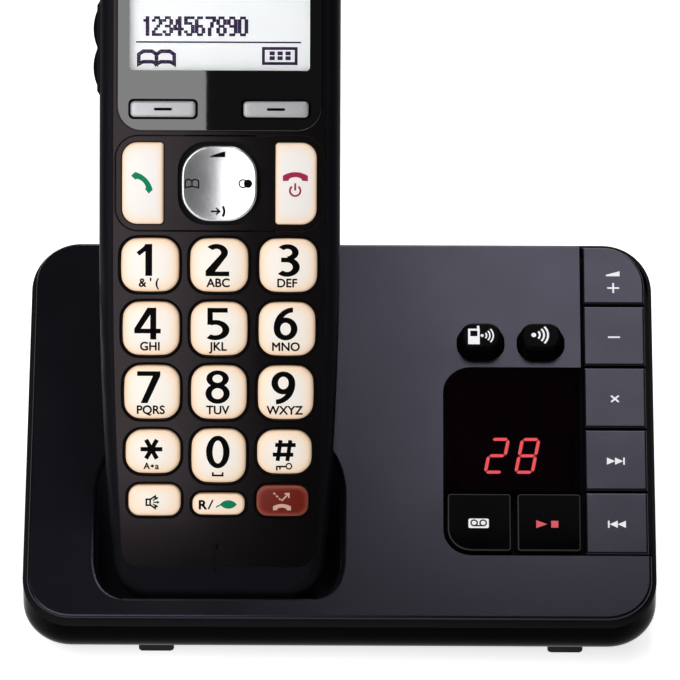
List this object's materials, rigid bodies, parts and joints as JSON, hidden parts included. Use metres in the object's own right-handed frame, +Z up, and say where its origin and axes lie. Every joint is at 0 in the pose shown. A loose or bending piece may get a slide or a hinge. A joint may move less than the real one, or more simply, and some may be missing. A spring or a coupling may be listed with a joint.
{
  "type": "cordless phone",
  "caption": "Cordless phone: push-button handset leaning in the cradle of a sloped answering base with side keys, a lit counter and raised oval keys.",
  "frame": {"origin": "on the surface the feet stand on, under the middle of the whole part with the handset in its cradle", "axes": "+X to the right of someone facing the keys, +Y away from them, +Z up"},
  "size_m": [0.14, 0.1128, 0.1532],
  "materials": {
    "case_matte": "fine-grained matte black",
    "case_gloss": "gloss black",
    "window_smoke": "smoked gloss",
    "window_clear": "clear gloss",
    "key_cream": "lit cream",
    "key_red": "satin red",
    "key_silver": "silver",
    "key_dark": "satin black",
    "rubber": "moulded",
    "board": "solder mask",
    "steel": "plated",
    "cell_sleeve": "printed sleeve",
    "screen": "lit screen",
    "counter_red": "red segments",
    "speaker": "black frame",
    "jack": "matte black"
  },
  "bodies": {
    "base": {"base_top_cover": "case_matte", "base_bottom_case": "case_gloss", "counter_window": "window_smoke", "led_counter": "counter_red", "base_key_mat": "rubber", "base_board": "board", "base_loudspeaker": "speaker", "base_feet": "rubber", "base_screws": "steel", "line_jack": "jack", "power_jack": "jack"},
    "handset": {"handset_front_case": "case_matte", "handset_rear_case": "case_matte", "face_plate": "case_matte", "display_panel": "case_gloss", "lcd_window": "window_clear", "lcd_module": "screen", "earpiece_speaker": "speaker", "keypad_mat": "rubber", "handset_board": "board", "handset_microphone": "speaker", "handset_loudspeaker": "speaker", "battery_cells": "cell_sleeve", "battery_contacts": "steel", "charge_plates": "steel", "handset_screws": "steel"},
    "key_1": {"key_1": "key_cream"},
    "key_2": {"key_2": "key_cream"},
    "key_3": {"key_3": "key_cream"},
    "key_4": {"key_4": "key_cream"},
    "key_5": {"key_5": "key_cream"},
    "key_6": {"key_6": "key_cream"},
    "key_7": {"key_7": "key_cream"},
    "key_8": {"key_8": "key_cream"},
    "key_9": {"key_9": "key_cream"},
    "key_star": {"key_star": "key_cream"},
    "key_0": {"key_0": "key_cream"},
    "key_hash": {"key_hash": "key_cream"},
    "talk_key": {"talk_key": "key_cream"},
    "off_key": {"off_key": "key_cream"},
    "soft_key_left": {"soft_key_left": "key_silver"},
    "soft_key_right": {"soft_key_right": "key_silver"},
    "speakerphone_key": {"speakerphone_key": "key_cream"},
    "call_block_key": {"call_block_key": "key_red"},
    "recall_key": {"recall_key": "key_cream"},
    "skip_back_key": {"skip_back_key": "key_dark"},
    "skip_forward_key": {"skip_forward_key": "key_dark"},
    "erase_key": {"erase_key": "key_dark"},
    "volume_down_key": {"volume_down_key": "key_dark"},
    "volume_up_key": {"volume_up_key": "key_dark"},
    "answer_key": {"answer_key": "key_dark"},
    "play_key": {"play_key": "key_dark"},
    "locator_key": {"locator_key": "key_dark"},
    "intercom_key": {"intercom_key": "key_dark"},
    "nav_pivot": {"nav_pivot": "rubber"},
    "nav_key": {"nav_key": "key_silver"},
    "volume_rocker": {"volume_rocker": "case_gloss"},
    "battery_cover": {"battery_cover": "case_matte"},
    "charge_pin_left": {"charge_pin_left": "steel"},
    "charge_pin_right": {"charge_pin_right": "steel"}
  },
  "joints": [
    {"name": "handset_lift", "type": "slide", "parent": "base", "child": "handset", "axis": [0, 0.5299, 0.848], "range_m": [0, 0.12]},
    {"name": "nav_tilt_updown", "type": "hinge", "parent": "handset", "child": "nav_pivot", "pos_m": [-0.0267, 0.00107, 0.09113], "axis": [1, 0, 0], "range_deg": [-3, 3], "stiffness_Nm_per_rad": 0.03},
    {"name": "nav_tilt_sideways", "type": "hinge", "parent": "nav_pivot", "child": "nav_key", "pos_m": [-0.0267, 0.00107, 0.09113], "axis": [0, 0.5299, 0.848], "range_deg": [-3, 3], "stiffness_Nm_per_rad": 0.03},
    {"name": "volume_rock", "type": "hinge", "parent": "handset", "child": "volume_rocker", "pos_m": [-0.0507, 0.01972, 0.11438], "axis": [0, -0.848, 0.5299], "range_deg": [-3.5, 3.5], "stiffness_Nm_per_rad": 0.03},
    {"name": "battery_cover_off", "type": "slide", "parent": "handset", "child": "battery_cover", "axis": [0, 0.8179, -0.5753], "range_m": [0, 0.008]},
    {"name": "charge_pin_left_press", "type": "slide", "parent": "base", "child": "charge_pin_left", "axis": [0, -0.5299, -0.848], "range_m": [0, 0.0008], "stiffness_N_per_m": 500},
    {"name": "charge_pin_right_press", "type": "slide", "parent": "base", "child": "charge_pin_right", "axis": [0, -0.5299, -0.848], "range_m": [0, 0.0008], "stiffness_N_per_m": 500},
    {"name": "key_1_press", "type": "slide", "parent": "handset", "child": "key_1", "axis": [0, 0.848, -0.5299], "range_m": [0, 0.0007], "stiffness_N_per_m": 400},
    {"name": "key_2_press", "type": "slide", "parent": "handset", "child": "key_2", "axis": [0, 0.848, -0.5299], "range_m": [0, 0.0007], "stiffness_N_per_m": 400},
    {"name": "key_3_press", "type": "slide", "parent": "handset", "child": "key_3", "axis": [0, 0.848, -0.5299], "range_m": [0, 0.0007], "stiffness_N_per_m": 400},
    {"name": "key_4_press", "type": "slide", "parent": "handset", "child": "key_4", "axis": [0, 0.848, -0.5299], "range_m": [0, 0.0007], "stiffness_N_per_m": 400},
    {"name": "key_5_press", "type": "slide", "parent": "handset", "child": "key_5", "axis": [0, 0.848, -0.5299], "range_m": [0, 0.0007], "stiffness_N_per_m": 400},
    {"name": "key_6_press", "type": "slide", "parent": "handset", "child": "key_6", "axis": [0, 0.848, -0.5299], "range_m": [0, 0.0007], "stiffness_N_per_m": 400},
    {"name": "key_7_press", "type": "slide", "parent": "handset", "child": "key_7", "axis": [0, 0.848, -0.5299], "range_m": [0, 0.0007], "stiffness_N_per_m": 400},
    {"name": "key_8_press", "type": "slide", "parent": "handset", "child": "key_8", "axis": [0, 0.848, -0.5299], "range_m": [0, 0.0007], "stiffness_N_per_m": 400},
    {"name": "key_9_press", "type": "slide", "parent": "handset", "child": "key_9", "axis": [0, 0.848, -0.5299], "range_m": [0, 0.0007], "stiffness_N_per_m": 400},
    {"name": "key_star_press", "type": "slide", "parent": "handset", "child": "key_star", "axis": [0, 0.848, -0.5299], "range_m": [0, 0.0007], "stiffness_N_per_m": 400},
    {"name": "key_0_press", "type": "slide", "parent": "handset", "child": "key_0", "axis": [0, 0.848, -0.5299], "range_m": [0, 0.0007], "stiffness_N_per_m": 400},
    {"name": "key_hash_press", "type": "slide", "parent": "handset", "child": "key_hash", "axis": [0, 0.848, -0.5299], "range_m": [0, 0.0007], "stiffness_N_per_m": 400},
    {"name": "talk_key_press", "type": "slide", "parent": "handset", "child": "talk_key", "axis": [0, 0.848, -0.5299], "range_m": [0, 0.0007], "stiffness_N_per_m": 400},
    {"name": "off_key_press", "type": "slide", "parent": "handset", "child": "off_key", "axis": [0, 0.848, -0.5299], "range_m": [0, 0.0007], "stiffness_N_per_m": 400},
    {"name": "soft_key_left_press", "type": "slide", "parent": "handset", "child": "soft_key_left", "axis": [0, 0.848, -0.5299], "range_m": [0, 0.0007], "stiffness_N_per_m": 400},
    {"name": "soft_key_right_press", "type": "slide", "parent": "handset", "child": "soft_key_right", "axis": [0, 0.848, -0.5299], "range_m": [0, 0.0007], "stiffness_N_per_m": 400},
    {"name": "speakerphone_key_press", "type": "slide", "parent": "handset", "child": "speakerphone_key", "axis": [0, 0.848, -0.5299], "range_m": [0, 0.0007], "stiffness_N_per_m": 400},
    {"name": "call_block_key_press", "type": "slide", "parent": "handset", "child": "call_block_key", "axis": [0, 0.848, -0.5299], "range_m": [0, 0.0007], "stiffness_N_per_m": 400},
    {"name": "recall_key_press", "type": "slide", "parent": "handset", "child": "recall_key", "axis": [0, 0.848, -0.5299], "range_m": [0, 0.0007], "stiffness_N_per_m": 400},
    {"name": "skip_back_key_press", "type": "slide", "parent": "base", "child": "skip_back_key", "axis": [0, 0.4226, -0.9063], "range_m": [0, 0.0007], "stiffness_N_per_m": 400},
    {"name": "skip_forward_key_press", "type": "slide", "parent": "base", "child": "skip_forward_key", "axis": [0, 0.4226, -0.9063], "range_m": [0, 0.0007], "stiffness_N_per_m": 400},
    {"name": "erase_key_press", "type": "slide", "parent": "base", "child": "erase_key", "axis": [0, 0.4226, -0.9063], "range_m": [0, 0.0007], "stiffness_N_per_m": 400},
    {"name": "volume_down_key_press", "type": "slide", "parent": "base", "child": "volume_down_key", "axis": [0, 0.4226, -0.9063], "range_m": [0, 0.0007], "stiffness_N_per_m": 400},
    {"name": "volume_up_key_press", "type": "slide", "parent": "base", "child": "volume_up_key", "axis": [0, 0.4226, -0.9063], "range_m": [0, 0.0007], "stiffness_N_per_m": 400},
    {"name": "answer_key_press", "type": "slide", "parent": "base", "child": "answer_key", "axis": [0, 0.4226, -0.9063], "range_m": [0, 0.0007], "stiffness_N_per_m": 400},
    {"name": "play_key_press", "type": "slide", "parent": "base", "child": "play_key", "axis": [0, 0.4226, -0.9063], "range_m": [0, 0.0007], "stiffness_N_per_m": 400},
    {"name": "locator_key_press", "type": "slide", "parent": "base", "child": "locator_key", "axis": [0, 0.4226, -0.9063], "range_m": [0, 0.0007], "stiffness_N_per_m": 400},
    {"name": "intercom_key_press", "type": "slide", "parent": "base", "child": "intercom_key", "axis": [0, 0.4226, -0.9063], "range_m": [0, 0.0007], "stiffness_N_per_m": 400}
  ]
}
